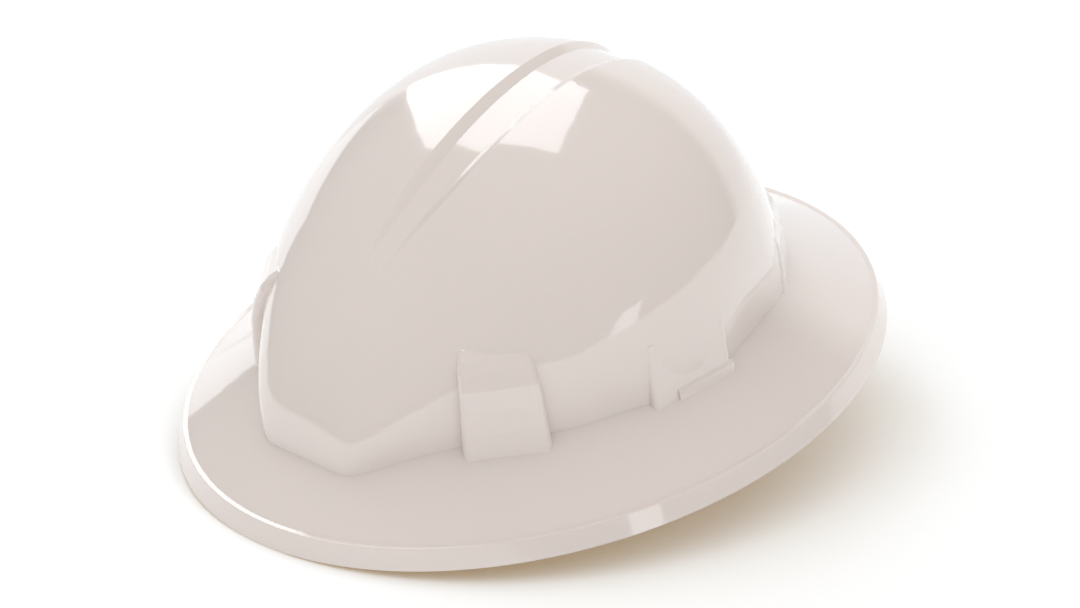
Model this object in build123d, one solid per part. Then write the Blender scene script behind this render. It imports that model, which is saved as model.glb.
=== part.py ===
from build123d import *
import math
import os

# Full brim hard hat: a moulded shell over a four point ratchet suspension.
# Millimetres, +Z up, front towards -Y, the wearer's left towards +X.
# The origin is the centre of the ellipse that the lip's lower edge draws.

# Brim, measured to the outside of the lip
brim_length = 312.0
brim_width = 270.0
brim_thickness = 2.6
lip_height = 8.0
lip_spread = 3.0
bead_height = 0.6
bead_width = 1.3
bead_crest_share = 0.45
bead_steps = 4
brim_top_z = 34.5
brim_root_radius = 104.0

# Dome, measured on its outside from its own centre
dome_front = 130.4
dome_rear = 116.8
dome_half_width = 102.0
dome_centre_y = 1.6
dome_base_z = 28.0
dome_height = 98.6
crown_shift = 35.0
dome_skirt = 8.0
wall = 2.6
front_power = 1.16
side_power = 3.7
outline_points = 96
corner_power = 52
panel_sight_share = 0.3
levels = [0, 0.08, 0.18, 0.3, 0.43, 0.56, 0.68, 0.79, 0.88, 0.945, 0.985, 0.997]

# Flat panels of the lower wall: angle from the front, and depth of the cut at the base
front_cut = 2.8
diagonal_cut = 11.0
cheek_cut = 7.0
side_cut = 1.2
rear_side_cut = 5.2
rear_diagonal_cut = 4.0
rear_cut = 3.0
panel_release = 9.0
panel_top_share = 0.66
panels = [
    (0, front_cut),
    (49.4, diagonal_cut),
    (69.8, cheek_cut),
    (88, side_cut),
    (109, rear_side_cut),
    (135, rear_diagonal_cut),
    (180, rear_cut),
]

# Channel over the crown, given on the crown line from front to rear
channel_depth = 2.4
channel_lift = 0.5
channel_wall_run = 6.4
channel_front_half = 7.4
channel_rear_half = 15.4
channel_clear = 4.0
channel_front_share = 0.53
channel_rear_share = 0.5
channel_top_share = 0.985
channel_steps = 7
channel_fade_share = 0.28
slope_step_share = 0.001

# Key sockets: soft bosses standing out of the wall, with a pocket and two rails inside
socket_width = 37.0
socket_taper = 3.4
socket_rises = [10.0, 20.0, 28.0, 34.0, 38.0, 41.0]
socket_falls = [0.3, 1.2, 3.4, 6.8, 10.4, 15.0]
socket_draft = 2.0
socket_skirt = 10.0
socket_root = 74.0
socket_round = 4.0
rail_width = 3.2
rail_bite = 1.2
rail_height = 27.0
pocket_width = 28.6
pocket_height = 25.0
pocket_root = 60.0
front_key_angle = 49.4
front_key_shift = -13.6
front_key_face = 108.8
rear_key_angle = 133.0
rear_key_shift = 14.0
rear_key_face = 107.0

# Raised panel at the side, over the ear
side_panel_face = 101.0
side_panel_turn = 3.5
side_panel_front = -24.0
side_panel_rear = 17.0
side_panel_height = 42.0
side_panel_lean = 9.0
side_panel_lean_share = 0.17
side_panel_upright_share = 0.66
side_panel_round = 2.4
side_panel_root = 84.0
ledge_height = 3.4
ledge_depth = 0.7
ledge_front = -12.0

# Fits
gap = 0.3
running_gap = 0.08
seat_gap = 0.05

# Keys that slide up into the sockets
key_thickness = 3.2
key_boss_width = 20.4
key_boss_height = 20.0
key_boss_low = 1.0
front_boss_length = 9.4
rear_boss_length = 11.4
key_slot_depth = 8.0
key_anchor_depth = 4.3
key_finger_height = 5.0
key_finger_depth = 3.0
key_bottom_z = 20.0

# Headband: half an ellipse in front and half a circle behind, about one centre
band_centre_y = 8.0
band_inner_radius = 79.5
band_front_length = 108.0
band_thickness = 2.4
band_low_z = -4.0
band_high_z = 32.0
band_opening_angle = 33.0
arm_start_angle = 52.0
arm_end_angle = 71.0
hanger_width = 16.0
hanger_low_z = 12.0
hanger_depth = 31.0
stud_radius = 2.6
stud_head_radius = 4.6
stud_head_height = 1.4
stud_z = 26.0
stud_depth = 4.0
vent_width = 16.0
vent_height = 5.0
vent_depth = 40.0
vent_angles = [72, 88, 104]

# Crown straps and their patch
strap_width = 17.0
strap_thickness = 1.4
strap_low_z = 34.0
strap_crown_z = 92.0
strap_gap = 0.4
strap_reach_shares = [0.86, 0.6, 0.3]
strap_rise_shares = [0.4, 0.79, 0.98]
strap_start_share = 0.35
patch_size = 46.0
patch_thickness = 4.0
patch_round = 9.0
patch_edge_round = 1.3
pad_drop = 1.0

# Brow pad on the front of the headband
brow_half_angle = 62.0
brow_low_z = -1.0
brow_high_z = 29.0
brow_pad_thickness = 4.0

# Ratchet at the nape
ratchet_z = -18.0
pinion_teeth = 10
flank_steps = 4
pinion_pitch_radius = 6.5
tooth_addendum = 1.04
tooth_dedendum = 1.4
tooth_backlash = 0.22
pressure_angle = 25.0
tail_clearance = 0.7
tail_thickness = 2.2
tail_half_height = 10.5
tail_bar_end = 12.0
tail_bar_length = 62.0
tail_band_length = 46.0
tail_slot_length = 30.0
tail_slot_height = 4.0
tail_travel = 24.0
rack_lead_teeth = 2
rack_tooth_count = 10
housing_half_angle = 27.0
housing_plate = 2.4
housing_lip = 2.4
housing_half_height = 13.6
housing_gap = 0.5
shaft_radius = 3.0
journal_radius = 2.4
pinion_inset = 0.35
click_ring_outer = 13.0
click_ring_inner = 10.2
click_ring_height = 2.4
click_count = 24
click_depth = 0.7
pawl_arm_count = 2
pawl_hub_radius = 5.4
pawl_thickness = 1.5
pawl_arm_width = 1.6
pawl_tip_radius = 9.3
knob_radius = 17.0
knob_depth = 11.0
knob_stand_off = 0.5
knob_lobes = 12
knob_groove_radius = 2.3
knob_round = 1.2
knob_recess_radius = 4.4
knob_recess_depth = 3.0
screw_head_radius = 3.8
screw_head_height = 2.0
screw_radius = 1.3
screw_length = 10.0
screw_slot_width = 0.9
screw_slot_depth = 0.9
washer_thickness = 0.5
cover_screw_angle = 22.0
cover_screw_radius = 1.2
cover_screw_head_radius = 2.1
cover_screw_head_height = 1.0
cover_screw_z = 12.2
screw_end_share = 0.67
guide_angles = [56, 67]
guide_width_angle = 4.0
band_search_steps = 60
full_turn = 360
half_turn = 180
quarter_turn = 90
rear_angle = quarter_turn
guide_plate = 1.8
guide_foot = 2.2
nape_strap_thickness = 1.2
nape_strap_half_height = 7.0
nape_strap_overlap_angle = 3.0
nape_pad_thickness = 4.0
nape_pad_half_height = 11.0
nape_pad_half_angle = 22.0
nape_pad_round = 1.6

band_outer_radius = band_inner_radius + band_thickness
tail_inner_radius = band_outer_radius + tail_clearance
tail_outer_radius = tail_inner_radius + tail_thickness
tail_pitch_radius = tail_inner_radius + tail_thickness / 2
cover_inner_radius = tail_outer_radius + housing_gap
cover_outer_radius = cover_inner_radius + housing_plate
housing_inner_radius = band_outer_radius - housing_plate
tooth_pitch = 2 * math.pi * pinion_pitch_radius / pinion_teeth
knob_start = cover_outer_radius + click_ring_height + knob_stand_off
arm_low_z = ratchet_z - tail_half_height - housing_gap - guide_foot


def arc_angle(length):
    """Degrees that a length takes up along the tails' circle."""
    return math.degrees(length / tail_pitch_radius)


def dome_outline(level, inset):
    """Points of the dome's outline at a share of its height, drawn in by an inset."""
    half_x = (dome_half_width - inset) * math.sqrt(1 - level ** side_power)
    spread_y = math.sqrt(1 - level ** front_power)
    centre_y = dome_centre_y + crown_shift * level ** 2
    height = dome_base_z + (dome_height - inset) * level
    fade = max(0, 1 - level / panel_top_share)
    points = []
    for step in range(outline_points):
        angle = 2 * math.pi * step / outline_points
        half_y = (dome_front if math.cos(angle) > 0 else dome_rear) - inset
        half_y = half_y * spread_y
        total = math.hypot(math.sin(angle) / half_x, math.cos(angle) / half_y) ** corner_power
        for turn, cut in panels:
            for facing in {turn, -turn}:
                normal = math.radians(facing)
                if math.cos(angle - normal) < panel_sight_share:
                    continue
                support = math.hypot(half_x * math.sin(normal), half_y * math.cos(normal))
                reach = support - cut * fade * support / dome_half_width + panel_release * (1 - fade)
                total += (math.cos(angle - normal) / reach) ** corner_power
        radius = total ** (-1 / corner_power)
        points.append((radius * math.sin(angle), centre_y - radius * math.cos(angle), height))
    return points


def outline_wire(points):
    """Closed smooth wire through the points, with one shared spacing for every level."""
    spacing = [step / len(points) for step in range(len(points) + 1)]
    return Wire([Edge.make_spline([Vector(*p) for p in points], periodic=True, parameters=spacing)])


def skirt_wire(inset):
    """The outline at the dome's foot, moved down to the end of its upright skirt."""
    return outline_wire([(x, y, dome_base_z - dome_skirt) for x, y, _ in dome_outline(0, inset)])


def dome_body(inset):
    """Smooth solid dome over an upright skirt."""
    wires = [outline_wire(dome_outline(level, inset)) for level in levels]
    tip = Vertex(0, dome_centre_y + crown_shift, dome_base_z + dome_height - inset)
    return Solid.make_loft([skirt_wire(inset)] + wires + [tip])


def crown_point(side, level):
    """Point of the crown line on the front (-1) or rear (1) side at a height share."""
    half = dome_front if side < 0 else dome_rear
    y = dome_centre_y + crown_shift * level ** 2 + side * half * math.sqrt(1 - level ** front_power)
    return Vector(0, y, dome_base_z + dome_height * level)


def channel_stations():
    """Places along the crown line, front to rear, with the share of full depth at each."""
    rises = [step / channel_steps for step in range(channel_steps + 1)]
    front = [channel_front_share + (channel_top_share - channel_front_share) * rise for rise in rises]
    rear = [channel_rear_share + (channel_top_share - channel_rear_share) * rise for rise in rises]
    stations = [(-1, level, min(1, (level - channel_front_share) / channel_fade_share)) for level in front]
    return stations + [(1, level, min(1, (level - channel_rear_share) / channel_fade_share))
                       for level in reversed(rear)]


def channel_cutter():
    """Shallow trough that widens towards the rear and fades out at both ends."""
    sections = []
    stations = channel_stations()
    for index, (side, level, share) in enumerate(stations):
        here = crown_point(side, level)
        nudge = side * slope_step_share
        along = (crown_point(side, level - nudge) - crown_point(side, level + nudge)).normalized()
        half = channel_front_half + (channel_rear_half - channel_front_half) * index / (len(stations) - 1)
        depth = channel_depth * share - channel_lift * (1 - share)
        plane = Plane(origin=here, x_dir=(1, 0, 0), z_dir=along)
        up = 1 if plane.y_dir.Z > 0 or (plane.y_dir.Y > 0) == (side > 0) else -1
        floor = half - channel_wall_run / 2
        top = half + channel_wall_run / 2 + channel_clear * channel_wall_run / channel_depth
        corners = [(-floor, -up * depth), (floor, -up * depth), (top, up * channel_clear),
                   (-top, up * channel_clear)]
        sections.append(Wire.make_polygon([plane.from_local_coords(c) for c in corners], close=True))
    return Solid.make_loft(sections)


def key_frame(angle, shift):
    """Placement whose X runs along the wall and whose -Y points out of it."""
    return Rot(0, 0, angle) * Pos(shift, 0, 0)


def wall_prism(profile, width):
    """Extrude a (distance, height) profile both ways along the wall."""
    corners = [(0, -distance, height) for distance, height in profile]
    face = Face(Wire.make_polygon(corners, close=True))
    return extrude(face, width / 2, dir=(1, 0, 0), both=True)


def socket_block(face):
    """Boss with a rounded shoulder and sides that draw in towards the top."""
    low = dome_base_z - socket_skirt
    high = dome_base_z + socket_rises[-1]
    profile = [(socket_root, low), (face, low)]
    profile += [(face - fall, dome_base_z + rise) for rise, fall in zip(socket_rises, socket_falls)]
    profile.append((socket_root, high))
    half = socket_width / 2
    front = Wire.make_polygon([(-half, 0, low), (half, 0, low), (half - socket_taper, 0, high),
                               (socket_taper - half, 0, high)], close=True)
    block = wall_prism(profile, socket_width) & extrude(Face(front), face, dir=(0, -1, 0))
    sides = [e for e in block.edges() if abs(e.center().X) > half - 2 * socket_taper
             and e.center().Y < -(face - socket_falls[-1]) and e.center().Z > low + socket_round]
    return fillet(sides, socket_round)


def socket_pocket(face):
    outer = face - socket_draft - wall
    low = -brim_length
    profile = [(pocket_root, low), (outer, low), (outer, dome_base_z + pocket_height),
               (pocket_root, dome_base_z + pocket_height)]
    return wall_prism(profile, pocket_width)


def socket_rails(face):
    """Two lips behind the key, each on a cheek that runs out into the socket's front wall."""
    front = face - socket_draft - wall
    back = front - key_thickness - 2 * gap
    low = dome_base_z - socket_skirt
    high = low + rail_height
    lip = wall_prism([(back - wall, low), (back, low), (back, high), (back - wall, high)], rail_width)
    deep = front + wall / 2
    cheek = wall_prism([(back - wall, low), (deep, low), (deep, high), (back - wall, high)], rail_bite)
    lip_place = (pocket_width - rail_width) / 2
    cheek_place = (pocket_width + rail_bite) / 2
    left = Pos(lip_place, 0, 0) * lip + Pos(cheek_place, 0, 0) * cheek
    return [left, Pos(-lip_place, 0, 0) * lip + Pos(-cheek_place, 0, 0) * cheek]


def both_sides(solid):
    return solid + mirror(solid, about=Plane.YZ)


key_places = [
    (front_key_angle, front_key_shift, front_key_face, front_boss_length),
    (rear_key_angle, rear_key_shift, rear_key_face, rear_boss_length),
]


def elliptic_cone(low_radius, low_z, high_radius, high_z):
    """Solid between two ellipses of the brim's proportions, given by their long radii."""
    ratio = brim_width / brim_length
    low = Pos(0, 0, low_z) * Ellipse(low_radius * ratio, low_radius)
    high = Pos(0, 0, high_z) * Ellipse(high_radius * ratio, high_radius)
    return loft([low, high], ruled=True)


def brim_top():
    """Everything under the brim's upper surface: lip, bead and slope."""
    edge = brim_length / 2
    ridge = edge - lip_spread
    crest = bead_width * bead_crest_share
    turns = [math.pi / 2 * step / bead_steps for step in range(bead_steps + 1)]
    bead = [(ridge - crest * (1 - math.cos(turn)), lip_height + bead_height * math.sin(turn))
            for turn in turns]
    top = elliptic_cone(edge, 0, ridge, lip_height)
    for low, high in zip(bead, bead[1:]):
        top = top + elliptic_cone(*low, *high)
    return top + elliptic_cone(ridge - bead_width, lip_height, brim_root_radius, brim_top_z)


def brim_under():
    """The room under the brim, inside the lip."""
    edge = brim_length / 2 - brim_thickness
    ridge = edge - lip_spread
    low = lip_height - brim_thickness
    lip = elliptic_cone(edge, 0, ridge, low)
    return lip + elliptic_cone(ridge, low, brim_root_radius, brim_top_z - brim_thickness)


def side_panel():
    """Raised panel over the ear, with a ledge along its foot."""
    low = dome_base_z - dome_skirt
    top = dome_base_z + side_panel_height
    slab = [
        (side_panel_root, low),
        (side_panel_face, low),
        (side_panel_face - side_panel_lean * side_panel_lean_share,
         dome_base_z + side_panel_height * side_panel_upright_share),
        (side_panel_face - side_panel_lean, top),
        (side_panel_root, top),
    ]
    strip = [
        (side_panel_root, low),
        (side_panel_face + ledge_depth, low),
        (side_panel_face + ledge_depth, dome_base_z + ledge_height - ledge_depth),
        (side_panel_face - ledge_depth, dome_base_z + ledge_height + ledge_depth),
        (side_panel_root, dome_base_z + ledge_height),
    ]
    main = wall_prism(slab, side_panel_rear - side_panel_front)
    soft = [e for e in main.edges()
            if e.center().Y < -(side_panel_face - side_panel_lean) and e.center().Z > low + side_panel_round]
    main = fillet(soft, side_panel_round)
    foot = wall_prism(strip, side_panel_rear - ledge_front)
    facing = Rot(0, 0, quarter_turn - side_panel_turn)
    slide = side_panel_face * math.sin(math.radians(side_panel_turn))
    main = facing * Pos((side_panel_rear + side_panel_front) / 2 + slide, 0, 0) * main
    foot = facing * Pos((side_panel_rear + ledge_front) / 2 + slide, 0, 0) * foot
    return main + foot


def make_shell():
    """Dome, sockets and brim in one moulding of even wall thickness."""
    channel = channel_cutter()
    shell = dome_body(0) - channel + both_sides(side_panel())
    for angle, shift, face, _ in key_places:
        block = key_frame(angle, shift) * socket_block(face)
        shell = shell + block
        shell = shell + mirror(block, about=Plane.YZ)
    shell = shell + brim_top() - brim_under()
    shell = shell - (dome_body(wall) - Pos(0, 0, -wall) * channel)
    shell = shell - extrude(Face(skirt_wire(wall)), brim_length, dir=(0, 0, -1))
    for angle, shift, face, _ in key_places:
        pocket = key_frame(angle, shift) * socket_pocket(face)
        shell = shell - pocket
        shell = shell - mirror(pocket, about=Plane.YZ)
    for angle, shift, face, _ in key_places:
        for rail in socket_rails(face):
            shell = shell + both_sides(key_frame(angle, shift) * rail)
    return shell


def key_inner(face):
    """Distance of a key plate's inner side from the shell's own centre."""
    return face - socket_draft - wall - gap - key_thickness


def key_anchor(index):
    """Plan position of a left key's strap slot, front (0) or rear (1)."""
    angle, shift, face, _ = key_places[index]
    turn = math.radians(angle)
    reach = key_inner(face) - key_anchor_depth
    return Vector(reach * math.sin(turn) + shift * math.cos(turn),
                  -reach * math.cos(turn) + shift * math.sin(turn), 0)


def strap_ends(side):
    """Plan ends of the strap that starts at the left (1) or right (-1) front key."""
    front = key_anchor(0)
    rear = key_anchor(1)
    return Vector(front.X * side, front.Y, 0), Vector(-rear.X * side, rear.Y, 0)


def strap_slot(index):
    """Upright slot in a left key, in line with the strap that it holds."""
    start, end = strap_ends(1 if index == 0 else -1)
    across = end - start
    turn = math.degrees(math.atan2(across.Y, across.X))
    place = key_anchor(index)
    low = strap_low_z - gap
    box = Box(strap_thickness + 2 * gap, strap_width + 2 * gap, key_slot_depth)
    return Pos(place.X, place.Y, low + key_slot_depth / 2) * Rot(0, 0, turn) * box


def make_key(index):
    """Flat key, the boss that carries the band and strap, and a finger rest."""
    angle, shift, face, boss_length = key_places[index]
    inner = key_inner(face)
    outer = inner + key_thickness
    high = dome_base_z + pocket_height - gap
    plate = wall_prism([(inner, key_bottom_z), (outer, key_bottom_z), (outer, high), (inner, high)],
                       pocket_width - 2 * gap)
    low = key_bottom_z + key_boss_low
    boss = wall_prism(
        [(inner - boss_length, low), (inner, low), (inner, low + key_boss_height),
         (inner - boss_length, low + key_boss_height)], key_boss_width)
    finger = wall_prism(
        [(inner, key_bottom_z - key_finger_height), (outer, key_bottom_z - key_finger_height),
         (outer, key_bottom_z), (inner - key_finger_depth, key_bottom_z)], key_boss_width)
    hole_depth = stud_depth + gap
    hole = Pos(0, -(inner - boss_length + hole_depth / 2), stud_z) * Rot(90, 0, 0)
    hole = hole * Cylinder(stud_radius + seat_gap, hole_depth)
    return key_frame(angle, shift) * (plate + boss + finger - hole) - strap_slot(index)


def ring_sector(inner, outer, low, high, start, arc):
    """Part of a ring about the band's centre; angles run from +X towards +Y."""
    face = Face(Wire.make_polygon([(inner, 0, low), (outer, 0, low), (outer, 0, high), (inner, 0, high)],
                                  close=True))
    return Pos(0, band_centre_y, 0) * Rot(0, 0, start) * revolve(face, Axis.Z, arc)


def band_area(offset):
    """Area inside the band: half an ellipse in front of half a circle."""
    radius = band_inner_radius + offset
    length = band_front_length + offset
    half = Pos(0, -brim_length / 2) * Rectangle(brim_length, brim_length)
    front = Ellipse(radius, length) & half
    return Pos(0, band_centre_y) * (front + Circle(radius))


def band_ring(inner_offset, outer_offset, low, high):
    ring = band_area(outer_offset) - band_area(inner_offset)
    return Pos(0, 0, low) * extrude(ring, high - low)


def hanger_distance(face, boss_length):
    return key_inner(face) - boss_length - gap


def make_headband():
    """Front band with hangers, rear arms that drop to the nape, and vent slots."""
    band = band_ring(0, band_thickness, band_low_z, band_high_z)
    keep = ring_sector(0, brim_length / 2, arm_low_z, band_high_z, rear_angle + band_opening_angle,
                       full_turn - 2 * band_opening_angle)
    band = band & keep
    arm = ring_sector(band_inner_radius, band_outer_radius, arm_low_z, band_high_z,
                      rear_angle - arm_end_angle, arm_end_angle - arm_start_angle)
    band = band + both_sides(arm)
    inside = Pos(0, 0, arm_low_z) * extrude(band_area(0), band_high_z - arm_low_z + dome_height)
    for angle, shift, face, boss_length in key_places:
        reach = hanger_distance(face, boss_length)
        bridge = wall_prism([(reach - hanger_depth, hanger_low_z), (reach, hanger_low_z),
                             (reach, band_high_z), (reach - hanger_depth, band_high_z)], hanger_width)
        band = band + both_sides(key_frame(angle, shift) * bridge)
    band = band - inside
    for angle, shift, face, boss_length in key_places:
        reach = hanger_distance(face, boss_length)
        hole = Pos(0, -(reach - hanger_depth / 2 + gap), stud_z) * Rot(90, 0, 0)
        hole = hole * Cylinder(stud_radius + seat_gap, hanger_depth)
        band = band - both_sides(key_frame(angle, shift) * hole) - both_sides(stud_room(angle, shift))
    vent_z = (band_low_z + band_high_z) / 2
    for turn in vent_angles:
        vent = Pos(0, band_centre_y, vent_z) * Rot(0, 0, turn) * Pos(0, -band_inner_radius, 0)
        band = band - both_sides(vent * Box(vent_width, vent_depth, vent_height))
    return band


def stud_room(angle, shift):
    """Room for a stud's head, with a flat seat in the band."""
    seat = band_reach(angle, shift) + seat_gap
    room = Pos(0, -(seat - hanger_depth / 2), stud_z) * Rot(90, 0, 0)
    return key_frame(angle, shift) * room * Cylinder(stud_head_radius + gap, hanger_depth)


def make_studs():
    """Snap studs that hold the band's hangers on the keys."""
    studs = []
    for angle, shift, face, boss_length in key_places:
        reach = hanger_distance(face, boss_length)
        inner = band_reach(angle, shift)
        length = reach + gap + stud_depth - inner
        shank = Pos(0, -(inner + length / 2), stud_z) * Rot(90, 0, 0) * Cylinder(stud_radius, length)
        head = Pos(0, -(inner - stud_head_height / 2), stud_z) * Rot(90, 0, 0)
        head = head * Cylinder(stud_head_radius, stud_head_height)
        stud = key_frame(angle, shift) * (shank + head)
        studs += [stud, mirror(stud, about=Plane.YZ)]
    return Compound(children=studs)


def band_reach(angle, shift):
    """Distance along a key's outward direction at which the band's inside lies."""
    turn = math.radians(angle)
    low, high = 0, brim_length
    for _ in range(band_search_steps):
        middle = (low + high) / 2
        x = middle * math.sin(turn) + shift * math.cos(turn)
        y = -middle * math.cos(turn) + shift * math.sin(turn) - band_centre_y
        half = band_front_length if y < 0 else band_inner_radius
        if math.hypot(x / band_inner_radius, y / half) < 1:
            low = middle
        else:
            high = middle
    return low - gap


def make_strap(side, lift):
    """Webbing from a front key over the crown to the rear key on the other side."""
    start, end = strap_ends(side)
    across = (end - start).normalized()
    middle = (start + end) * 0.5
    free_z = strap_low_z + key_slot_depth
    rise = strap_crown_z + lift - free_z
    legs = []
    for foot in (start, end):
        leg = [foot + Vector(0, 0, free_z)]
        for reach, height in zip(strap_reach_shares, strap_rise_shares):
            place = middle + (foot - middle) * reach
            leg.append(Vector(place.X, place.Y, free_z + rise * height))
        legs.append(leg)
    crown = Vector(middle.X, middle.Y, strap_crown_z + lift)
    arch = Spline(*legs[0], crown, *legs[1][::-1], tangents=[Vector(0, 0, 1), Vector(0, 0, -1)],
                  tangent_scalars=[strap_start_share, strap_start_share])
    up = Edge.make_line(start + Vector(0, 0, strap_low_z), legs[0][0])
    down = Edge.make_line(legs[1][0], end + Vector(0, 0, strap_low_z))
    plane = Plane(origin=up @ 0, x_dir=Vector(-across.Y, across.X, 0), z_dir=(0, 0, 1))
    return sweep(plane * Rectangle(strap_width, strap_thickness), path=Wire([up, arch, down]))


def crown_centre():
    """Where the two straps cross."""
    front = key_anchor(0)
    rear = key_anchor(1)
    return front.Y + (rear.Y - front.Y) * front.X / (front.X + rear.X)


def make_patch():
    """Soft pad under the crossing of the straps."""
    middle = strap_crown_z - strap_thickness / 2 - pad_drop - patch_thickness / 2
    pad = Pos(0, crown_centre(), middle) * Box(patch_size, patch_size, patch_thickness)
    pad = fillet(pad.edges().filter_by(Axis.Z), patch_round)
    return fillet(pad.edges().group_by(Axis.Z)[-1], patch_edge_round)


def make_brow_pad():
    """Soft pad on the front of the band, between the band and the forehead."""
    outer = -stud_head_height - gap
    ring = band_ring(outer - brow_pad_thickness, outer, brow_low_z, brow_high_z)
    wedge = ring_sector(0, brim_length / 2, brow_low_z, brow_high_z, rear_angle + half_turn - brow_half_angle,
                        2 * brow_half_angle)
    pad = ring & wedge
    return pad - both_sides(stud_room(front_key_angle, front_key_shift))


def tail_tooth(turn, direction):
    """One rack tooth that points down (-1) or up (1) from its bar."""
    half = (tooth_pitch / 2 - tooth_backlash) / 2
    slope = math.tan(math.radians(pressure_angle))
    pitch_z = ratchet_z - direction * pinion_pitch_radius
    root = pitch_z - direction * (tooth_dedendum + tooth_addendum)
    tip = pitch_z + direction * tooth_addendum
    wide = half + slope * (tooth_dedendum + tooth_addendum)
    narrow = half - slope * tooth_addendum
    corners = [(-wide, 0, root), (wide, 0, root), (narrow, 0, tip), (-narrow, 0, tip)]
    face = Face(Wire.make_polygon(corners, close=True))
    tooth = extrude(face, tail_thickness, dir=(0, 1, 0))
    sag = tail_inner_radius * (1 - math.cos(wide / tail_inner_radius))
    return Pos(0, band_centre_y, 0) * Rot(0, 0, turn) * Pos(0, tail_inner_radius - sag / 2, 0) * tooth


def make_tail(side):
    """Curved tail: an inner bar with the rack, then a full height band with a slot."""
    direction = -side
    root_z = ratchet_z - direction * (pinion_pitch_radius + tooth_dedendum)
    edge_z = ratchet_z - direction * tail_half_height
    low, high = min(root_z, edge_z), max(root_z, edge_z)
    bar = ring_sector(tail_inner_radius, tail_outer_radius, low, high,
                      rear_angle - arc_angle(tail_bar_length), arc_angle(tail_bar_length + tail_bar_end))
    band_end = tail_bar_length + tail_band_length
    band = ring_sector(tail_inner_radius, tail_outer_radius, ratchet_z - tail_half_height,
                       ratchet_z + tail_half_height, rear_angle - arc_angle(band_end),
                       arc_angle(tail_band_length))
    slot_start = tail_bar_length + (tail_band_length - tail_slot_length) / 2
    slot = ring_sector(tail_inner_radius - gap, tail_outer_radius + gap, ratchet_z - tail_slot_height / 2,
                       ratchet_z + tail_slot_height / 2,
                       rear_angle - arc_angle(slot_start + tail_slot_length), arc_angle(tail_slot_length))
    tail = bar + band - slot
    for index in range(rack_tooth_count):
        place = (index - rack_lead_teeth + 0.5) * tooth_pitch
        tail = tail + tail_tooth(-arc_angle(place), direction)
    return tail if side > 0 else mirror(tail, about=Plane.YZ)


def involute_half_angle(radius):
    """Half the angle a pinion tooth takes up at a radius."""
    base = pinion_pitch_radius * math.cos(math.radians(pressure_angle))
    steep = math.radians(pressure_angle)
    at_pitch = math.pi / (2 * pinion_teeth) - tooth_backlash / (2 * pinion_pitch_radius)
    local = math.acos(min(1, base / radius))
    return at_pitch + (math.tan(steep) - steep) - (math.tan(local) - local)


def pinion_face():
    root = pinion_pitch_radius - tooth_dedendum
    tip = pinion_pitch_radius + tooth_addendum
    base = pinion_pitch_radius * math.cos(math.radians(pressure_angle))
    radii = [root] + [base + (tip - base) * step / flank_steps for step in range(flank_steps + 1)]
    points = []
    for tooth in range(pinion_teeth):
        centre = math.pi / 2 + 2 * math.pi * tooth / pinion_teeth
        for radius in radii:
            turn = centre - involute_half_angle(max(radius, base))
            points.append((radius * math.cos(turn), radius * math.sin(turn)))
        for radius in reversed(radii):
            turn = centre + involute_half_angle(max(radius, base))
            points.append((radius * math.cos(turn), radius * math.sin(turn)))
    return Face(Wire.make_polygon([(x, y, 0) for x, y in points], close=True))


def on_axis(distance, shape):
    """Put a shape that stands on Z on the knob's axis, standing on a plane at a distance."""
    return Pos(0, band_centre_y + distance, ratchet_z) * Rot(-90, 0, 0) * shape


def disc(radius, height):
    return Pos(0, 0, height / 2) * Cylinder(radius, height)


def make_pinion():
    """Pinion with its journal, its shaft and the screw's hole, in one moulding."""
    teeth_start = tail_inner_radius + pinion_inset / 2
    teeth_depth = tail_thickness - pinion_inset
    teeth = extrude(pinion_face(), teeth_depth)
    pinion = on_axis(teeth_start, teeth)
    journal_start = housing_inner_radius + gap
    pinion = pinion + on_axis(journal_start, disc(journal_radius, teeth_start - journal_start))
    shaft_start = teeth_start + teeth_depth
    shaft_end = knob_start + knob_depth - knob_recess_depth - washer_thickness - gap
    pinion = pinion + on_axis(shaft_start, disc(shaft_radius, shaft_end - shaft_start))
    drill = disc(screw_radius + seat_gap, screw_length + gap)
    return pinion - on_axis(shaft_end - screw_length, drill)


def make_ratchet_back():
    """Curved plate on the head's side of the tails, with the pinion's bore."""
    plate = ring_sector(housing_inner_radius, band_outer_radius, ratchet_z - housing_half_height,
                        ratchet_z + housing_half_height, rear_angle - housing_half_angle,
                        2 * housing_half_angle)
    plate = plate - on_axis(housing_inner_radius - housing_plate,
                            disc(journal_radius + running_gap, 3 * housing_plate))
    return plate - screw_holes(cover_screw_radius + seat_gap)


def screw_holes(radius):
    holes = None
    for turn in (-cover_screw_angle, cover_screw_angle):
        for height in (-cover_screw_z, cover_screw_z):
            start = housing_inner_radius + housing_plate * (1 - screw_end_share)
            hole = Pos(0, start, ratchet_z + height) * Rot(-90, 0, 0)
            hole = hole * disc(radius, 2 * (cover_outer_radius - start))
            hole = Pos(0, band_centre_y, 0) * Rot(0, 0, turn) * hole
            holes = hole if holes is None else holes + hole
    return holes


def click_ring():
    """Raised ring of clicks for the pawl."""
    ring = disc(click_ring_outer, click_ring_height) - disc(click_ring_inner, click_ring_height)
    for index in range(click_count):
        notch = Rot(0, 0, full_turn * index / click_count) * Pos(click_ring_inner, 0, 0)
        ring = ring - notch * disc(click_depth, click_ring_height)
    return ring


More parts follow.
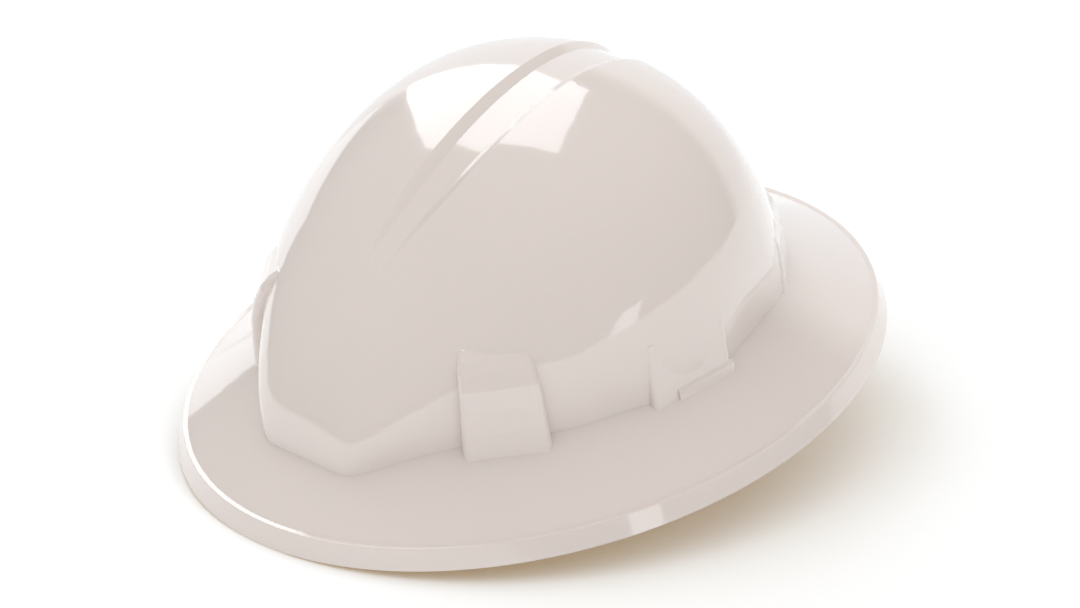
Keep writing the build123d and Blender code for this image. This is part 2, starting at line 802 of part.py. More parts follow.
def make_ratchet_cover():
    """Curved cover with a rim above and below the tails, and the click ring."""
    cover = ring_sector(cover_inner_radius, cover_outer_radius, ratchet_z - housing_half_height,
                        ratchet_z + housing_half_height, rear_angle - housing_half_angle,
                        2 * housing_half_angle)
    lip_low = housing_half_height - housing_lip
    for low in (ratchet_z + lip_low, ratchet_z - housing_half_height):
        cover = cover + ring_sector(band_outer_radius + seat_gap, cover_outer_radius, low, low + housing_lip,
                                    rear_angle - housing_half_angle, 2 * housing_half_angle)
    sag = cover_outer_radius - math.sqrt(cover_outer_radius ** 2 - click_ring_outer ** 2)
    pad = on_axis(cover_outer_radius - sag - housing_gap, disc(click_ring_outer, sag + housing_gap))
    cover = cover + pad + on_axis(cover_outer_radius, click_ring())
    bore = disc(shaft_radius + running_gap, knob_start - tail_inner_radius)
    cover = cover - on_axis(tail_inner_radius, bore)
    return cover - screw_holes(cover_screw_radius + seat_gap)


def make_cover_screws():
    screws = []
    for turn in (-cover_screw_angle, cover_screw_angle):
        for height in (-cover_screw_z, cover_screw_z):
            start = housing_inner_radius + housing_plate * (1 - screw_end_share) + seat_gap
            shank = disc(cover_screw_radius, cover_outer_radius + seat_gap - start)
            head = Pos(0, 0, cover_outer_radius + seat_gap - start)
            head = head * disc(cover_screw_head_radius, cover_screw_head_height)
            place = Pos(0, band_centre_y, 0) * Rot(0, 0, turn)
            place = place * Pos(0, start, ratchet_z + height) * Rot(-90, 0, 0)
            screws.append(place * (shank + head))
    return Compound(children=screws)


def make_pawl():
    """Hub with two springy arms whose tips run inside the click ring."""
    hub = disc(pawl_hub_radius, pawl_thickness)
    pawl = hub
    for index in range(pawl_arm_count):
        spoke = Rot(0, 0, full_turn * index / pawl_arm_count)
        reach = spoke * Pos(pawl_hub_radius - pawl_arm_width / 2, pawl_arm_width, 0)
        arm = Pos(0, pawl_hub_radius / 2, pawl_thickness / 2)
        arm = arm * Box(pawl_arm_width, pawl_hub_radius, pawl_thickness)
        pawl = pawl + reach * arm
    tip_limit = disc(pawl_tip_radius, pawl_thickness)
    pawl = (pawl & tip_limit) - disc(shaft_radius + seat_gap, pawl_thickness)
    return on_axis(cover_outer_radius + gap, pawl)


def make_knob():
    """Lobed thumb knob with a recess for the screw's head."""
    body = disc(knob_radius, knob_depth)
    body = fillet(body.edges().group_by(Axis.Z)[-1], knob_round)
    for index in range(knob_lobes):
        groove = Rot(0, 0, full_turn * index / knob_lobes) * Pos(knob_radius + knob_groove_radius / 2, 0, 0)
        body = body - groove * disc(knob_groove_radius, knob_depth)
    body = body - disc(shaft_radius + seat_gap, knob_depth)
    recess = Pos(0, 0, knob_depth - knob_recess_depth) * disc(knob_recess_radius, knob_recess_depth)
    return on_axis(knob_start, body - recess)


def make_washer():
    washer = disc(knob_recess_radius - gap, washer_thickness) - disc(screw_radius + gap, washer_thickness)
    return on_axis(knob_start + knob_depth - knob_recess_depth, washer)


def make_knob_screw():
    head = disc(screw_head_radius, screw_head_height)
    slot = Box(2 * screw_head_radius, screw_slot_width, screw_slot_depth)
    head = head - Pos(0, 0, screw_head_height - screw_slot_depth / 2) * slot
    shank_length = screw_length - gap
    shank = Pos(0, 0, -shank_length) * disc(screw_radius, shank_length)
    return on_axis(knob_start + knob_depth - knob_recess_depth + washer_thickness, head + shank)


def make_tail_guides():
    """Loops on the band's arms that the tails slide through."""
    guides = []
    inner = tail_outer_radius + housing_gap
    foot_low = ratchet_z - tail_half_height - housing_gap - guide_foot
    foot_high = ratchet_z + tail_half_height + housing_gap
    for turn in guide_angles:
        start = rear_angle - turn - guide_width_angle / 2
        bridge = ring_sector(inner, inner + guide_plate, foot_low, foot_high + guide_foot, start,
                             guide_width_angle)
        for low in (foot_low, foot_high):
            bridge = bridge + ring_sector(band_outer_radius + seat_gap, inner + guide_plate, low,
                                          low + guide_foot, start, guide_width_angle)
        guides += [bridge, mirror(bridge, about=Plane.YZ)]
    return Compound(children=guides)


def make_nape_strap():
    """Thin flexible strap from arm to arm behind the head."""
    inner = housing_inner_radius - seat_gap - nape_strap_thickness
    half = arm_start_angle + nape_strap_overlap_angle
    return ring_sector(inner, inner + nape_strap_thickness, ratchet_z - nape_strap_half_height,
                       ratchet_z + nape_strap_half_height, rear_angle - half, 2 * half)


def make_nape_pad():
    outer = housing_inner_radius - 2 * seat_gap - nape_strap_thickness
    pad = ring_sector(outer - nape_pad_thickness, outer, ratchet_z - nape_pad_half_height,
                      ratchet_z + nape_pad_half_height, rear_angle - nape_pad_half_angle,
                      2 * nape_pad_half_angle)
    inner_edges = [e for e in pad.edges() if (e.center() - Vector(0, band_centre_y, e.center().Z)).length
                   < outer - nape_pad_thickness / 2]
    return fillet(inner_edges, nape_pad_round)


def main():
    os.makedirs("parts", exist_ok=True)
    nodes = {"shell": make_shell()}
    for index, name in enumerate(("front", "rear")):
        key = make_key(index)
        nodes["key_" + name + "_left"] = key
        nodes["key_" + name + "_right"] = mirror(key, about=Plane.YZ)
    nodes["strap_lower"] = make_strap(1, 0)
    nodes["strap_upper"] = make_strap(-1, strap_thickness + strap_gap)
    nodes["crown_pad"] = make_patch()
    nodes["headband"] = make_headband()
    nodes["band_studs"] = make_studs()
    nodes["brow_pad"] = make_brow_pad()
    nodes["tail_guides"] = make_tail_guides()
    nodes["tail_left"] = make_tail(1)
    nodes["tail_right"] = make_tail(-1)
    nodes["ratchet_back"] = make_ratchet_back()
    nodes["ratchet_cover"] = make_ratchet_cover()
    nodes["cover_screws"] = make_cover_screws()
    nodes["pinion"] = make_pinion()
    nodes["pawl"] = make_pawl()
    nodes["knob"] = make_knob()
    nodes["knob_washer"] = make_washer()
    nodes["knob_screw"] = make_knob_screw()
    nodes["nape_strap"] = make_nape_strap()
    nodes["nape_pad"] = make_nape_pad()
    for name, solid in nodes.items():
        export_step(solid, os.path.join("parts", name + ".step"))
        box = solid.bounding_box()
        print(name, len(solid.solids()), round(solid.volume), box.min, box.max)


main()
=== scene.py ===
import math

import bpy
from mathutils import Matrix, Vector


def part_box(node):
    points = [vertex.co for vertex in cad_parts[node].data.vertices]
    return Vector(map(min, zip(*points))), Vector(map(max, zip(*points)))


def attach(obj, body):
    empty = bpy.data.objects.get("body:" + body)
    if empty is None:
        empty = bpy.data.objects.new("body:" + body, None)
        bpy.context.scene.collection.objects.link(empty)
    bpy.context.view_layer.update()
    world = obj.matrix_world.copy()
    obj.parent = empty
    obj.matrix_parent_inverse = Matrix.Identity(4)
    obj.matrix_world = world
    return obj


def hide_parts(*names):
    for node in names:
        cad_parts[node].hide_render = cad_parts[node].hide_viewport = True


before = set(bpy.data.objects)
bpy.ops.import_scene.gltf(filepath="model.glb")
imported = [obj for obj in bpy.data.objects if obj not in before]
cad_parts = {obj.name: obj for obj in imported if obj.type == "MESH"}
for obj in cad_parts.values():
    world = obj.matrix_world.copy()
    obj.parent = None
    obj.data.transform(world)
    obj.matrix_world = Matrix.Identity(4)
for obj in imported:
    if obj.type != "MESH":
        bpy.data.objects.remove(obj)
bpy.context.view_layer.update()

# Metres, in the part's frame: +Z up, front towards -Y, the wearer's left towards +X.

# Camera, as fitted to the photograph's brim and crown. The image's places are in pixels, the
# sensor in millimetres.
IMAGE_WIDTH = 1080
IMAGE_HEIGHT = 608
ORIGIN_X = 534.2
ORIGIN_Y = 369.2
PIXELS_PER_METRE = 2440
CAMERA_DISTANCE = 2.5
CAMERA_AZIMUTH = math.radians(50.0)
CAMERA_ELEVATION = math.radians(30.93)
CAMERA_ROLL = math.radians(8.15)
SENSOR = 36.0

# The hat stands on the front of its brim and on the nape gear
FRONT_RIM = Vector((0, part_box("shell")[0][1], 0))
REAR_NODES = ["knob", "tail_guides", "headband", "ratchet_cover", "cover_screws", "nape_pad", "tail_left"]
FLOOR_SIZE = 8.0
FLOOR_GAP = 0.0002

# Floor as the camera sees it: a cool colour and a warm glow, which paint the shadow warm while the lit
# floor stays white
FLOOR_PAINTED_SHADOW_BASE = (0.76, 0.86, 0.96)
FLOOR_PAINTED_SHADOW_GLOW = (0.27, 0.17, 0.06)

# World as a light: its level at the horizon and overhead
WORLD_LIGHT = (0.74, 1.08)
# World in mirror rays: white round a bearing behind the hat, in degrees, and a grey level elsewhere.
# The edge is the pair of cosines between which one turns into the other.
STUDIO_BACK = -152
STUDIO_EDGE = (0.66, 0.8)
STUDIO_FRONT_LEVEL = 0.2

# Soft panels, set out round a point under the crown: corners as (azimuth, elevation) in degrees,
# distance and radiance
STUDIO_CENTRE = Vector((0.01, 0, 0.115))
NEAR_PANEL = 1.6
FAR_PANEL = 2.2
COOL_WHITE = (0.93, 0.97, 1.0)
PANELS = {
    "key_panel": ([(-88, 39), (-90, 68), (-128, 50), (-112, 11)], NEAR_PANEL, 3.0),
    "back_panel": ([(-110, -8), (-113, 42), (-176, 9), (-178, -12)], FAR_PANEL, 1.05),
    "low_strip": ([(-91, -8), (-92, 7), (-110, 9), (-110, -8)], FAR_PANEL, 1.3),
    "side_window": ([(83, -3), (83, 9), (92, 9), (92, -3)], FAR_PANEL, 2.0),
}

# Headband's inner face, which the pads follow
BAND_CENTRE_Y = 0.008
BAND_HALF_WIDTH = 0.0795
BAND_FRONT = 0.108

# Long pads. Shares are of the pad's length for channels and ends, and of its height for the taper.
PAD_AROUND = 40
PAD_END_SHARE = 0.02
PAD_END_POWER = 7
PAD_END_TAPER = 0.14
PAD_LEAST_CROWN = 0.12
PAD_HEIGHT_POWER = 0.55
PAD_DEPTH_POWER = 0.6
CHANNEL_HALF_SHARE = 0.006
CHANNEL_PINCH = 0.0004

BROW_STEPS = 180
BROW_EDGE = 0.0006
BROW_BACK = 0.0019
BROW_FACE = 0.0068
BROW_CHANNELS = [0.1, 0.26, 0.42, 0.58, 0.74, 0.9]
BROW_CHANNEL_DEPTH = 0.55
BROW_HALF_ANGLE = math.radians(68)

NAPE_STEPS = 90
NAPE_EDGE = 0.0005
NAPE_BACK = 0.00005
NAPE_FACE = 0.0044
NAPE_CHANNELS = [0.2, 0.5, 0.8]
NAPE_CHANNEL_DEPTH = 0.5
NAPE_END_ANGLE = 0.01
NAPE_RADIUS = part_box("nape_pad")[1][1] - BAND_CENTRE_Y

# Crown patch: a square whose sides bulge, thin at its edge and quilted with a cross
PATCH_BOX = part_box("crown_pad")
PATCH_GRID = 33
PATCH_EDGE = 0.0006
PATCH_BULGE = 0.32
PATCH_EDGE_POWER = 6
PATCH_CROWN_POWER = 0.4
QUILT_HALF_SHARE = 0.07
QUILT_DEPTH = 0.35
WELD_DISTANCE = 0.00002

# Radians of phase that Blender's wave texture makes per metre at scale 1
WAVE_RATE = 20
WEBBING_PITCH = 0.0016
WEBBING_COLOUR = (0.09, 0.092, 0.1)

# Part of a noise texture's range that holds most of its values
NOISE_LOW = 0.3
NOISE_HIGH = 0.7

SHELL_WHITE = (0.775, 0.69, 0.645)
FLOOR_WHITE = (0.9, 0.9, 0.9)
FLOOR_WHITE_RANGE = ((0.89, 0.89, 0.89), (0.91, 0.91, 0.91))
BLACK = (0.022, 0.022, 0.025)
KEY_BLACK = (0.03, 0.03, 0.033)
BAND_BLACK = (0.035, 0.035, 0.038)
TAIL_BLACK = (0.03, 0.03, 0.034)
GEAR_WHITE = (0.62, 0.6, 0.55)
STEEL = (0.62, 0.62, 0.64)
BROW_GREY = (0.05, 0.05, 0.056)
PATCH_GREY = (0.04, 0.04, 0.044)


# Materials

def set_inputs(shader, values):
    for name, value in values.items():
        shader.inputs[name].default_value = value


def material(name, colour, roughness, specular=0.5, metallic=0.0):
    """New node material and its Principled shader."""
    made = bpy.data.materials.new(name)
    made.use_nodes = True
    shader = made.node_tree.nodes["Principled BSDF"]
    set_inputs(shader, {
        "Base Color": (*colour, 1),
        "Roughness": roughness,
        "Specular IOR Level": specular,
        "Metallic": metallic,
    })
    return made, shader


def node(made, kind, **settings):
    new = made.node_tree.nodes.new(kind)
    for key, value in settings.items():
        setattr(new, key, value)
    return new


def link(made, out_socket, in_socket):
    made.node_tree.links.new(out_socket, in_socket)


def noise(made, scale, detail=3.0, stretch=(1, 1, 1)):
    """Noise in the piece's own coordinates; gives the factor socket."""
    place = node(made, "ShaderNodeTexCoord")
    mapping = node(made, "ShaderNodeMapping")
    mapping.inputs["Scale"].default_value = stretch
    link(made, place.outputs["Object"], mapping.inputs["Vector"])
    texture = node(made, "ShaderNodeTexNoise")
    set_inputs(texture, {"Scale": scale, "Detail": detail})
    link(made, mapping.outputs["Vector"], texture.inputs["Vector"])
    return texture.outputs["Fac"]


def tint(made, shader, factor, stops):
    """Colours the shader by a ramp through (position, colour) stops."""
    new = node(made, "ShaderNodeValToRGB")
    elements = new.color_ramp.elements
    elements[0].position, elements[0].color = stops[0][0], (*stops[0][1], 1)
    elements[1].position, elements[1].color = stops[-1][0], (*stops[-1][1], 1)
    for position, colour in stops[1:-1]:
        elements.new(position).color = (*colour, 1)
    link(made, factor, new.inputs["Fac"])
    link(made, new.outputs["Color"], shader.inputs["Base Color"])


def shade(colour, gain):
    return tuple(min(1.0, c * gain) for c in colour)


def drift(made, shader, factor, colour, dark, light):
    """Lets the colour wander between a darker and a lighter shade of itself."""
    tint(made, shader, factor, [(NOISE_LOW, shade(colour, dark)), (NOISE_HIGH, shade(colour, light))])


def bump(made, shader, height, strength, distance):
    new = node(made, "ShaderNodeBump")
    set_inputs(new, {"Strength": strength, "Distance": distance})
    link(made, height, new.inputs["Height"])
    link(made, new.outputs["Normal"], shader.inputs["Normal"])


def vary_roughness(made, shader, factor, low, high):
    spread = node(made, "ShaderNodeMapRange")
    set_inputs(spread, {"To Min": low, "To Max": high})
    link(made, factor, spread.inputs["Value"])
    link(made, spread.outputs["Result"], shader.inputs["Roughness"])


def shell_plastic():
    """Glossy warm white moulded plastic with faint moulding waves and handling marks."""
    made, shader = material("shell_plastic", SHELL_WHITE, roughness=0.09)
    set_inputs(shader, {
        "Coat Weight": 0.8,
        "Coat Roughness": 0.03,
        "Coat IOR": 1.5,
        "Subsurface Weight": 0.12,
        "Subsurface Radius": (1.0, 0.7, 0.55),
        "Subsurface Scale": 0.004,
    })
    drift(made, shader, noise(made, scale=9, detail=2), SHELL_WHITE, dark=0.985, light=1.012)
    vary_roughness(made, shader, noise(made, scale=34, detail=4), low=0.06, high=0.13)
    bump(made, shader, noise(made, scale=22, detail=1), strength=0.05, distance=0.0006)
    return made


def moulded_plastic(name, colour, roughness, grain=900.0, depth=0.00006):
    """Matt moulded plastic with spark-eroded grain and slight colour drift."""
    made, shader = material(name, colour, roughness, specular=0.45)
    drift(made, shader, noise(made, scale=40), colour, dark=0.86, light=1.14)
    vary_roughness(made, shader, noise(made, scale=120), low=roughness - 0.1, high=roughness + 0.12)
    bump(made, shader, noise(made, grain, detail=2), strength=0.35, distance=depth)
    return made


def plated_steel():
    """Zinc plate with fine turning marks."""
    made, shader = material("plated_steel", STEEL, roughness=0.3, metallic=1.0)
    marks = noise(made, scale=400, detail=2, stretch=(1, 1, 12))
    vary_roughness(made, shader, marks, low=0.2, high=0.42)
    bump(made, shader, marks, strength=0.15, distance=0.00003)
    return made


def weave_height(made, pitch, turn):
    """Two crossed waves, as in a plain weave; gives a height socket."""
    place = node(made, "ShaderNodeTexCoord")
    mapping = node(made, "ShaderNodeMapping")
    mapping.inputs["Rotation"].default_value = (0, 0, turn)
    link(made, place.outputs["Object"], mapping.inputs["Vector"])
    crossed = node(made, "ShaderNodeMath", operation="MULTIPLY")
    for index, direction in enumerate(("X", "Y")):
        wave = node(made, "ShaderNodeTexWave", wave_type="BANDS", bands_direction=direction,
                    wave_profile="SIN")
        wave.inputs["Scale"].default_value = 2 * math.pi / WAVE_RATE / pitch
        link(made, mapping.outputs["Vector"], wave.inputs["Vector"])
        link(made, wave.outputs["Fac"], crossed.inputs[index])
    return crossed.outputs["Value"]


def webbing_cloth(name, turn):
    """Woven polyester strap whose threads run along the strap, with painted shade between the threads and
    painted highlight on their crowns.
    """
    made, shader = material(name, WEBBING_COLOUR, roughness=0.75, specular=0.3)
    set_inputs(shader, {"Sheen Weight": 0.25, "Sheen Roughness": 0.4})
    height = weave_height(made, WEBBING_PITCH, turn)
    # Painted shade in the weave's gaps and painted highlight on the thread crowns, following the weave's
    # height
    gap_painted_shade, crown_painted_highlight = shade(WEBBING_COLOUR, 0.45), shade(WEBBING_COLOUR, 1.5)
    tint(made, shader, height, [(0.0, gap_painted_shade), (0.5, WEBBING_COLOUR), (1.0, crown_painted_highlight)])
    bump(made, shader, height, strength=0.8, distance=0.0003)
    return made


def pad_cloth(name, colour):
    """Brushed knit over foam: fine loops, soft sheen and slight mottling."""
    made, shader = material(name, colour, roughness=0.9, specular=0.15)
    set_inputs(shader, {"Sheen Weight": 0.5, "Sheen Roughness": 0.5})
    drift(made, shader, noise(made, scale=160, detail=4), colour, dark=0.75, light=1.3)
    bump(made, shader, noise(made, scale=1500), strength=0.9, distance=0.0004)
    return made


materials = {
    "shell": shell_plastic(),
    "key": moulded_plastic("key_nylon", KEY_BLACK, roughness=0.42),
    "band": moulded_plastic("band_plastic", BAND_BLACK, roughness=0.5, grain=700),
    "stud": moulded_plastic("stud_plastic", BLACK, roughness=0.38),
    "tail": moulded_plastic("tail_nylon", TAIL_BLACK, roughness=0.46, grain=800),
    "housing": moulded_plastic("housing_nylon", BLACK, roughness=0.5, grain=600, depth=0.0001),
    "gear": moulded_plastic("gear_acetal", GEAR_WHITE, roughness=0.35, grain=1200, depth=0.00003),
    "knob": moulded_plastic("knob_nylon", BLACK, roughness=0.48, grain=500, depth=0.00012),
    "steel": plated_steel(),
    "brow": pad_cloth("brow_knit", BROW_GREY),
    "pad": pad_cloth("crown_knit", PATCH_GREY),
}

NODE_LOOKS = {
    "shell": "shell",
    "key_front_left": "key", "key_front_right": "key", "key_rear_left": "key", "key_rear_right": "key",
    "headband": "band", "tail_guides": "band", "band_studs": "stud",
    "tail_left": "tail", "tail_right": "tail", "nape_strap": "tail",
    "ratchet_back": "housing", "ratchet_cover": "housing", "cover_screws": "steel",
    "pinion": "gear", "pawl": "gear", "knob": "knob", "knob_washer": "steel", "knob_screw": "steel",
}
for name, look in NODE_LOOKS.items():
    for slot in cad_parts[name].material_slots:
        slot.material = materials[look]


# Meshes

def mesh_object(name, vertices, faces, look, smooth=True):
    data = bpy.data.meshes.new(name)
    data.from_pydata([tuple(v) for v in vertices], [], faces)
    data.validate()
    data.update()
    if smooth:
        data.polygons.foreach_set("use_smooth", [True] * len(data.polygons))
    new = bpy.data.objects.new(name, data)
    new.data.materials.append(look)
    bpy.context.collection.objects.link(new)
    return new


def closed_grid(columns, rows):
    """Faces of a tube of rings: columns points round each ring, rows rings, capped at both ends."""
    faces = []
    for row in range(rows - 1):
        for column in range(columns):
            a = row * columns + column
            b = row * columns + (column + 1) % columns
            faces.append((a, b, b + columns, a + columns))
    faces.append(tuple(reversed(range(columns))))
    faces.append(tuple(range((rows - 1) * columns, rows * columns)))
    return faces


# Straps

def strap(node_name, side):
    """Webbing with the form of the node's own solid; side says which diagonal it runs along."""
    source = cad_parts[node_name]
    low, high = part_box(node_name)
    turn = math.atan2((high[1] - low[1]) * side, high[0] - low[0])
    new = bpy.data.objects.new("webbing_" + node_name, source.data.copy())
    bpy.context.collection.objects.link(new)
    new.data.materials.clear()
    new.data.materials.append(webbing_cloth("webbing_" + node_name, -turn))
    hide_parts(node_name)
    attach(new, "suspension")


strap("strap_lower", 1)
strap("strap_upper", -1)


# Pads

def superellipse(share, power):
    """Height of a blunt-ended arch at a share of its length."""
    return max(0.0, 1 - abs(2 * share - 1) ** power) ** (1 / power)


def brow_point(angle, offset, height):
    """Point at an offset inward from the band's inner face, at an angle from the front."""
    half_x = BAND_HALF_WIDTH - offset
    half_y = BAND_FRONT - offset
    return Vector((half_x * math.sin(angle), BAND_CENTRE_Y - half_y * math.cos(angle), height))


def nape_point(angle, offset, height):
    """Point at an offset inward from the nape strap, at an angle from the rear."""
    radius = NAPE_RADIUS - offset
    return Vector((radius * math.sin(angle), BAND_CENTRE_Y + radius * math.cos(angle), height))


def pad_rings(point, steps, low, high, back, face, channels, channel_depth, half_angle):
    """Rings of a long soft pad: a crowned section that closes at both ends, with sewn channels."""
    vertices = []
    middle = (low + high) / 2
    for step in range(steps):
        share = (step + 0.5) / steps
        angle = -half_angle + 2 * half_angle * share
        end = superellipse(PAD_END_SHARE + (1 - 2 * PAD_END_SHARE) * share, PAD_END_POWER)
        dip = sum(math.exp(-((share - channel) / CHANNEL_HALF_SHARE) ** 2) for channel in channels)
        crown = max(PAD_LEAST_CROWN, end - channel_depth * dip)
        half = (high - low) / 2 * (1 - PAD_END_TAPER + PAD_END_TAPER * end) - CHANNEL_PINCH * dip
        for k in range(PAD_AROUND):
            turn = 2 * math.pi * k / PAD_AROUND
            c, s = math.cos(turn), math.sin(turn)
            up = math.copysign(abs(s) ** PAD_HEIGHT_POWER, s) * half
            reach = abs(c) ** PAD_DEPTH_POWER
            level = (1 + reach * crown) / 2 if c >= 0 else (1 - reach) / 2
            vertices.append(point(angle, back + (face - back) * level, middle + up))
    return vertices, closed_grid(PAD_AROUND, steps)


def brow_pad():
    """Sweatband along the front of the headband."""
    low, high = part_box("brow_pad")
    vertices, faces = pad_rings(brow_point, BROW_STEPS, low[2] + BROW_EDGE, high[2] - BROW_EDGE,
                                BROW_BACK, BROW_FACE, BROW_CHANNELS, BROW_CHANNEL_DEPTH, BROW_HALF_ANGLE)
    new = mesh_object("brow_pad_soft", vertices, faces, materials["brow"])
    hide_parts("brow_pad")
    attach(new, "suspension")


def nape_pad():
    """Pad on the inside of the nape strap."""
    low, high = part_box("nape_pad")
    half_angle = math.asin(high[0] / NAPE_RADIUS) - NAPE_END_ANGLE
    vertices, faces = pad_rings(nape_point, NAPE_STEPS, low[2] + NAPE_EDGE, high[2] - NAPE_EDGE,
                                NAPE_BACK, NAPE_FACE, NAPE_CHANNELS, NAPE_CHANNEL_DEPTH, half_angle)
    new = mesh_object("nape_pad_soft", vertices, faces, materials["brow"])
    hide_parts("nape_pad")
    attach(new, "suspension")


def patch_point(u, v, side):
    """Point of the crown patch's upper (side 1) or under (side -1) face, with u and v from -1 to 1."""
    low, high = PATCH_BOX
    half = (high[0] - low[0]) / 2 - PATCH_EDGE
    x = (low[0] + high[0]) / 2 + u * math.sqrt(1 - PATCH_BULGE * v * v) * half
    y = (low[1] + high[1]) / 2 + v * math.sqrt(1 - PATCH_BULGE * u * u) * half
    rise = max(0.0, 1 - abs(u) ** PATCH_EDGE_POWER) * max(0.0, 1 - abs(v) ** PATCH_EDGE_POWER)
    thick = (high[2] - low[2]) / 2 * rise ** PATCH_CROWN_POWER
    if side < 0:
        quilt = math.exp(-(u / QUILT_HALF_SHARE) ** 2) + math.exp(-(v / QUILT_HALF_SHARE) ** 2)
        thick = thick * (1 - QUILT_DEPTH * min(1.0, quilt))
    return Vector((x, y, (high[2] + low[2]) / 2 + side * thick))


def crown_pad():
    """Square soft patch with a crowned underside and a quilted cross."""
    shares = [2 * i / (PATCH_GRID - 1) - 1 for i in range(PATCH_GRID)]
    vertices = [patch_point(u, v, side) for side in (1, -1) for u in shares for v in shares]
    faces = []
    for face in (0, 1):
        for i in range(PATCH_GRID - 1):
            for j in range(PATCH_GRID - 1):
                a = (face * PATCH_GRID + i) * PATCH_GRID + j
                quad = (a, a + 1, a + PATCH_GRID + 1, a + PATCH_GRID)
                faces.append(quad if face else tuple(reversed(quad)))
    new = mesh_object("crown_pad_soft", vertices, faces, materials["pad"])
    weld = new.modifiers.new("weld", "WELD")
    weld.merge_threshold = WELD_DISTANCE
    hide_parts("crown_pad")
    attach(new, "suspension")


brow_pad()
nape_pad()
crown_pad()


# Floor

def floor_slope():
    """Steepest slope from the front of the rim down to anything at the rear."""
    slope = 0.0
    for name in REAR_NODES:
        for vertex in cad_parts[name].data.vertices:
            x, y, z = vertex.co
            if z < 0:
                slope = max(slope, -z / (y - FRONT_RIM.y))
    return slope


TILT = math.atan(floor_slope())


def floor_material():
    """Plain white floor that takes the shadow; to the camera its shadow under the brim is painted warm by
    a cool colour and a warm glow.
    """
    made, shader = material("floor_white", FLOOR_WHITE, roughness=0.8, specular=0.1)
    dark, light = FLOOR_WHITE_RANGE
    tint(made, shader, noise(made, scale=60), [(NOISE_LOW, dark), (NOISE_HIGH, light)])
    # Shader that camera, mirror and transmission rays see: its cool colour and warm glow paint the shadow
    # warm
    painted_shadow_shader = node(made, "ShaderNodeBsdfPrincipled")
    set_inputs(painted_shadow_shader, {
        "Base Color": (*FLOOR_PAINTED_SHADOW_BASE, 1),
        "Roughness": 0.9,
        "Specular IOR Level": 0.0,
        "Emission Color": (*FLOOR_PAINTED_SHADOW_GLOW, 1),
        "Emission Strength": 1.0,
    })
    path = node(made, "ShaderNodeLightPath")
    viewed = path.outputs["Is Camera Ray"]
    for kind in ("Is Glossy Ray", "Is Transmission Ray"):
        either = node(made, "ShaderNodeMath", operation="MAXIMUM")
        link(made, viewed, either.inputs[0])
        link(made, path.outputs[kind], either.inputs[1])
        viewed = either.outputs["Value"]
    mix = node(made, "ShaderNodeMixShader")
    link(made, viewed, mix.inputs["Fac"])
    link(made, shader.outputs["BSDF"], mix.inputs[1])
    link(made, painted_shadow_shader.outputs["BSDF"], mix.inputs[2])
    link(made, mix.outputs["Shader"], made.node_tree.nodes["Material Output"].inputs["Surface"])
    return made


def add_floor():
    """Tilted plane that touches the front of the rim and the lowest of the rear nodes."""
    half = FLOOR_SIZE / 2
    rise = math.tan(TILT)
    corners = []
    for x, y in ((-half, -half), (half, -half), (half, half), (-half, half)):
        corners.append((x, y, -(y - FRONT_RIM.y) * rise - FLOOR_GAP))
    new = mesh_object("floor", corners, [(0, 1, 2, 3)], floor_material(), smooth=False)


add_floor()


# Light

def compass(azimuth, elevation):
    """Direction over the tilted floor, in degrees from the front round by the wearer's left (90)."""
    turn, lift = math.radians(azimuth), math.radians(elevation)
    flat = Vector((math.cos(lift) * math.sin(turn), -math.cos(lift) * math.cos(turn), math.sin(lift)))
    return Matrix.Rotation(-TILT, 3, "X") @ flat


def soft_panel(name, corners, distance, radiance):
    """Evenly glowing panel that the camera doesn't see."""
    points = [STUDIO_CENTRE + compass(*corner) * distance for corner in corners]
    glow = bpy.data.materials.new(name + "_glow")
    glow.use_nodes = True
    nodes = glow.node_tree.nodes
    nodes.remove(nodes["Principled BSDF"])
    emission = node(glow, "ShaderNodeEmission")
    set_inputs(emission, {"Color": (*COOL_WHITE, 1), "Strength": radiance})
    link(glow, emission.outputs["Emission"], nodes["Material Output"].inputs["Surface"])
    new = mesh_object(name, points, [(0, 1, 2, 3)], glow, smooth=False)
    new.visible_camera = False


for name, (corners, distance, radiance) in PANELS.items():
    soft_panel(name, corners, distance, radiance)


def toward(world, place, direction, edge, levels):
    """Level that climbs between two values as a ray turns towards a direction."""
    dot = node(world, "ShaderNodeVectorMath", operation="DOT_PRODUCT")
    dot.inputs[1].default_value = direction
    link(world, place.outputs["Generated"], dot.inputs[0])
    spread = node(world, "ShaderNodeMapRange")
    set_inputs(spread, {
        "From Min": edge[0], "From Max": edge[1],
        "To Min": levels[0], "To Max": levels[1],
    })
    link(world, dot.outputs["Value"], spread.inputs["Value"])
    return spread.outputs["Result"]


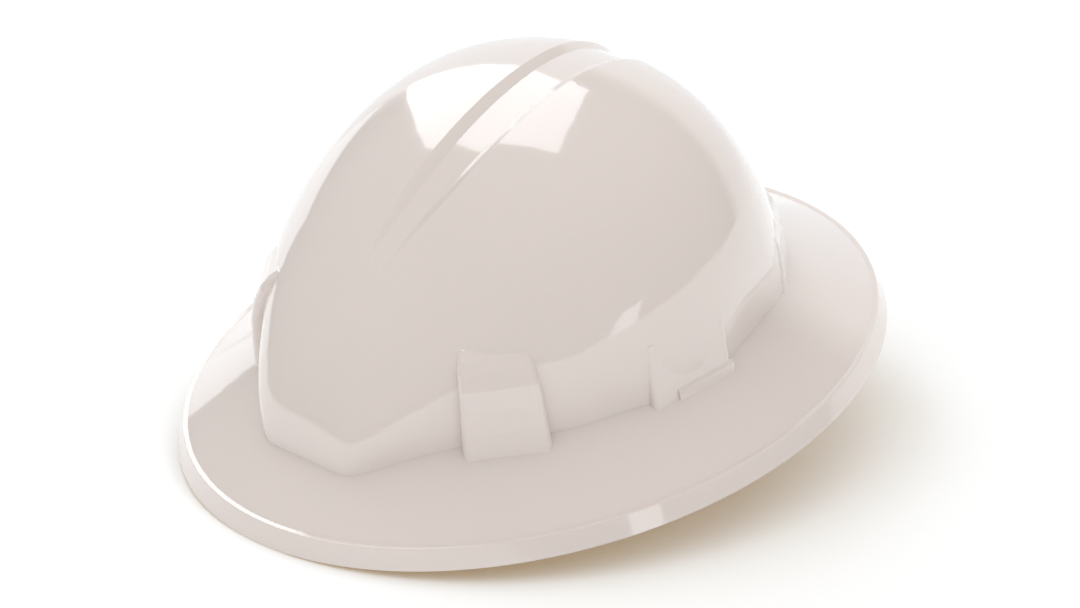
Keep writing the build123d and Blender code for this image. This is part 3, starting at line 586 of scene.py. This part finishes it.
def set_world():
    """Even light; in mirror rays the studio is white behind the hat and greyer on the camera's side."""
    world = bpy.data.worlds.new("studio")
    bpy.context.scene.world = world
    world.use_nodes = True
    background = world.node_tree.nodes["Background"]
    background.inputs["Color"].default_value = (1, 1, 1, 1)
    place = node(world, "ShaderNodeTexCoord")
    mirror = toward(world, place, compass(STUDIO_BACK, 0), STUDIO_EDGE, (STUDIO_FRONT_LEVEL, 1.0))
    strength = toward(world, place, compass(0, 90), (0.0, 1.0), WORLD_LIGHT)
    path = node(world, "ShaderNodeLightPath")
    for kind in ("Is Glossy Ray", "Is Transmission Ray", "Is Camera Ray"):
        mix = node(world, "ShaderNodeMix")
        link(world, path.outputs[kind], mix.inputs["Factor"])
        link(world, strength, mix.inputs["A"])
        if kind == "Is Camera Ray":
            mix.inputs["B"].default_value = 1.0
        else:
            link(world, mirror, mix.inputs["B"])
        strength = mix.outputs["Result"]
    link(world, strength, background.inputs["Strength"])


set_world()


# Camera

def add_camera():
    """Camera with the photograph's angle, roll and framing."""
    azimuth, elevation, roll = CAMERA_AZIMUTH, CAMERA_ELEVATION, CAMERA_ROLL
    away = Vector((math.cos(elevation) * math.sin(azimuth), -math.cos(elevation) * math.cos(azimuth),
                   math.sin(elevation)))
    right = Vector((math.cos(azimuth), math.sin(azimuth), 0))
    up = away.cross(right)
    image_right = math.cos(roll) * right - math.sin(roll) * up
    image_up = math.sin(roll) * right + math.cos(roll) * up
    data = bpy.data.cameras.new("camera")
    data.sensor_width = SENSOR
    data.lens = PIXELS_PER_METRE * CAMERA_DISTANCE / IMAGE_WIDTH * SENSOR
    data.shift_x = (IMAGE_WIDTH / 2 - ORIGIN_X) / IMAGE_WIDTH
    data.shift_y = (ORIGIN_Y - IMAGE_HEIGHT / 2) / IMAGE_WIDTH
    new = bpy.data.objects.new("camera", data)
    turn = Matrix((image_right, image_up, away)).transposed()
    new.matrix_world = Matrix.Translation(away * CAMERA_DISTANCE) @ turn.to_4x4()
    bpy.context.collection.objects.link(new)
    bpy.context.scene.camera = new


add_camera()
bpy.context.scene.view_settings.view_transform = "Standard"
